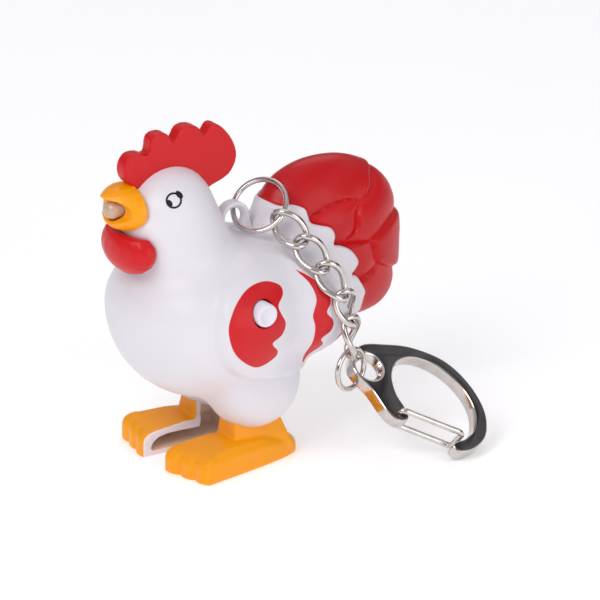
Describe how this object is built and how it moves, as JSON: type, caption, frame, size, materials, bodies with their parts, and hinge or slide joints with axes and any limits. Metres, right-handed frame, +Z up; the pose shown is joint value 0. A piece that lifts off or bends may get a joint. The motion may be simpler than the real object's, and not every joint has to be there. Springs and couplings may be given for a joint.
{
  "type": "rooster key-ring light",
  "caption": "Hollow plastic rooster light with raised wings, comb, wattle and fan tail, a push button in the wing, a lamp in the beak and a chain with a spring-gate clip.",
  "frame": {"origin": "middle of the whole object's footprint, on the ground under the feet", "axes": "+Z up; the toy faces -Y and its left side is +X; the shells part on a YZ plane 4.6 mm to the -X side of the origin"},
  "size_m": [0.0416, 0.0559, 0.0539],
  "materials": {
    "white_abs": "white ABS shell, satin gloss, with red painted wing patches and a printed eye",
    "red_plastic": "red ABS, satin gloss",
    "yellow_plastic": "yellow painted ABS, satin gloss",
    "white_button": "white plastic push button, glossy dish",
    "clear_epoxy": "clear epoxy LED body",
    "chrome": "bright nickel plate",
    "steel": "plain steel",
    "spring_brass": "plated brass strip",
    "tinned_wire": "tinned wire",
    "board": "green lacquered board",
    "black_plastic": "black moulded plastic",
    "wire_sleeve": "insulated wire"
  },
  "bodies": {
    "toy": {"body_shell_left": "white_abs", "body_shell_right": "white_abs", "comb": "red_plastic", "wattle": "red_plastic", "tail_half_left": "red_plastic", "tail_half_right": "red_plastic", "beak": "yellow_plastic", "foot_left": "yellow_plastic", "foot_right": "yellow_plastic", "led_lamp": "clear_epoxy", "button_cell_1": "steel", "button_cell_2": "steel", "button_cell_3": "steel", "speaker": "steel", "shell_screw_chest": "steel", "shell_screw_neck": "steel", "shell_screw_rump": "steel", "battery_contact_minus": "spring_brass", "battery_contact_plus": "spring_brass", "led_lead_1": "tinned_wire", "led_lead_2": "tinned_wire", "circuit_board": "board", "sound_chip": "black_plastic", "switch_body": "black_plastic", "battery_tray": "black_plastic", "lamp_wire_1": "wire_sleeve", "lamp_wire_2": "wire_sleeve", "speaker_wire_1": "wire_sleeve", "speaker_wire_2": "wire_sleeve"},
    "button": {"push_button": "white_button", "switch_plunger": "black_plastic"},
    "lug_ring": {"lug_ring": "chrome"},
    "chain_link_1": {"chain_link_1": "chrome"},
    "chain_link_2": {"chain_link_2": "chrome"},
    "chain_link_3": {"chain_link_3": "chrome"},
    "chain_link_4": {"chain_link_4": "chrome"},
    "chain_link_5": {"chain_link_5": "chrome"},
    "clip_ring": {"clip_ring": "chrome"},
    "clip_body": {"clip_body": "chrome"},
    "wire_gate": {"wire_gate": "chrome"}
  },
  "joints": [
    {"name": "button_press", "type": "slide", "parent": "toy", "child": "button", "axis": [-1, 0, 0], "range_m": [0, 0.0007], "stiffness_N_per_m": 400},
    {"name": "lug_ring_swing", "type": "hinge", "parent": "toy", "child": "lug_ring", "pos_m": [-0.0046, -0.00475, 0.0371], "axis": [1, 0, 0], "range_deg": [0, 12]},
    {"name": "link_1_swing", "type": "hinge", "parent": "lug_ring", "child": "chain_link_1", "pos_m": [0.00136, -0.00051, 0.03817], "axis": [0.0706, -0.8796, -0.4705], "range_deg": [0, 12]},
    {"name": "link_2_swing", "type": "hinge", "parent": "chain_link_1", "child": "chain_link_2", "pos_m": [0.00482, 0.00154, 0.03487], "axis": [0.0672, -0.8915, -0.448], "range_deg": [0, 12]},
    {"name": "link_3_swing", "type": "hinge", "parent": "chain_link_2", "child": "chain_link_3", "pos_m": [0.00763, 0.00367, 0.03104], "axis": [0.0651, -0.8986, -0.4338], "range_deg": [0, 12]},
    {"name": "link_4_swing", "type": "hinge", "parent": "chain_link_3", "child": "chain_link_4", "pos_m": [0.00972, 0.00586, 0.02682], "axis": [-0.1848, -0.9239, -0.3351], "range_deg": [0, 12]},
    {"name": "link_5_swing", "type": "hinge", "parent": "chain_link_4", "child": "chain_link_5", "pos_m": [0.00901, 0.00774, 0.02202], "axis": [-0.1961, -0.9806, 0], "range_deg": [0, 12]},
    {"name": "clip_ring_swing", "type": "hinge", "parent": "chain_link_5", "child": "clip_ring", "pos_m": [0.00901, 0.00774, 0.01682], "axis": [0, -1, 0], "range_deg": [0, 12]},
    {"name": "clip_swing", "type": "hinge", "parent": "clip_ring", "child": "clip_body", "pos_m": [0.0084, 0.01087, 0.01313], "axis": [0.6534, 0.1407, 0.7438], "range_deg": [0, 12]},
    {"name": "gate_open", "type": "hinge", "parent": "clip_body", "child": "wire_gate", "pos_m": [0.01461, 0.01236, 0.0074], "axis": [0.6534, 0.1407, 0.7438], "range_deg": [0, 20], "stiffness_Nm_per_rad": 0.02}
  ]
}
